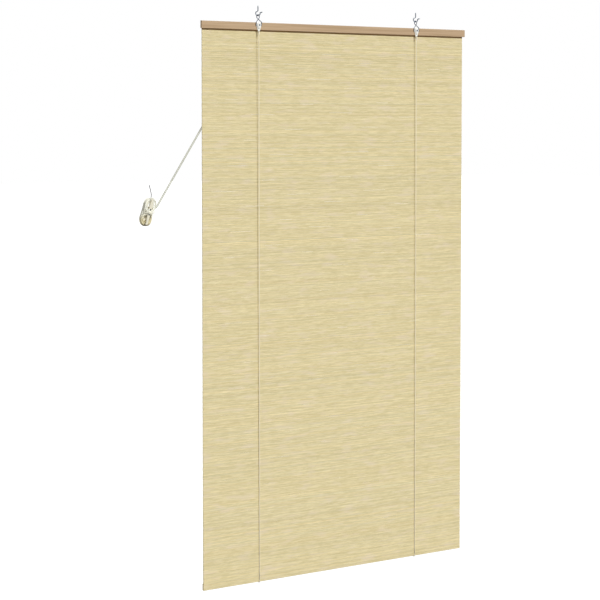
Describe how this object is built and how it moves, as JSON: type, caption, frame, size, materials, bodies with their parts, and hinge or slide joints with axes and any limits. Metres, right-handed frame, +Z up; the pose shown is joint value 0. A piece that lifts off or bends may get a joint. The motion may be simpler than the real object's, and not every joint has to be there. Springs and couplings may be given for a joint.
{
  "type": "roller blind",
  "caption": "Lowered roll-up blind of fine bamboo reeds on a slim rail, hung from ceiling hooks, with cord lift over pulleys and a wall cleat.",
  "frame": {"origin": "in the ceiling's plane, midway between the two screw hooks", "axes": "+X along the rail, to the right as seen from the room; +Y from the room to the wall or window; +Z up"},
  "size_m": [1.1984, 0.0555, 1.6507],
  "materials": {
    "reed": "matt natural bamboo",
    "lath": "matt planed bamboo",
    "zinc": "zinc plated",
    "plate": "gloss off-white",
    "nylon": "natural nylon",
    "cleat": "gloss cream",
    "cord": "braided cotton, cream"
  },
  "bodies": {
    "hanging_blind": {"head_rail": "lath", "mat": "reed", "mat_staples": "zinc", "ceiling_hook_left": "zinc", "rail_hanger_left": "zinc", "hanger_plate_left": "plate", "ceiling_hook_right": "zinc", "rail_hanger_right": "zinc", "hanger_plate_right": "plate", "hanger_screws": "zinc", "pulley_bracket_left": "zinc", "pulley_axle_left": "zinc", "pulley_bracket_right": "zinc", "pulley_axle_right": "zinc", "pulley_screws": "zinc", "cord_knot_left": "cord", "front_cord_left": "cord", "back_cord_left": "cord", "cord_knot_right": "cord", "front_cord_right": "cord", "back_cord_right": "cord", "cross_cord": "cord", "pull_cord_left": "cord", "pull_cord_right": "cord", "cleat": "cleat", "cleat_screws": "zinc", "cord_winding": "cord", "cord_end": "cord"},
    "bottom_bar": {"bottom_slat": "lath", "cord_loop_left": "cord", "cord_loop_right": "cord"},
    "wheel_left_near": {"pulley_wheel_left_near": "nylon"},
    "wheel_left_far": {"pulley_wheel_left_far": "nylon"},
    "wheel_right": {"pulley_wheel_right": "nylon"}
  },
  "joints": [
    {"name": "lift", "type": "slide", "parent": "hanging_blind", "child": "bottom_bar", "axis": [0, 0, 1], "range_m": [0, 1.5], "deforming": ["mat", "front_cord_left", "front_cord_right", "back_cord_left", "back_cord_right"]},
    {"name": "wheel_left_near_spin", "type": "hinge", "parent": "hanging_blind", "child": "wheel_left_near", "pos_m": [-0.306, 0.0116, -0.088], "axis": [0, 1, 0], "continuous": true},
    {"name": "wheel_left_far_spin", "type": "hinge", "parent": "hanging_blind", "child": "wheel_left_far", "pos_m": [-0.306, 0.0172, -0.088], "axis": [0, 1, 0], "continuous": true},
    {"name": "wheel_right_spin", "type": "hinge", "parent": "hanging_blind", "child": "wheel_right", "pos_m": [0.294, 0.0116, -0.088], "axis": [0, 1, 0], "continuous": true}
  ],
  "couplings": [
    {"joint": "wheel_left_near_spin", "follows": "lift", "rad_per_m": -333.33},
    {"joint": "wheel_left_far_spin", "follows": "lift", "rad_per_m": -333.33},
    {"joint": "wheel_right_spin", "follows": "lift", "rad_per_m": -333.33}
  ]
}
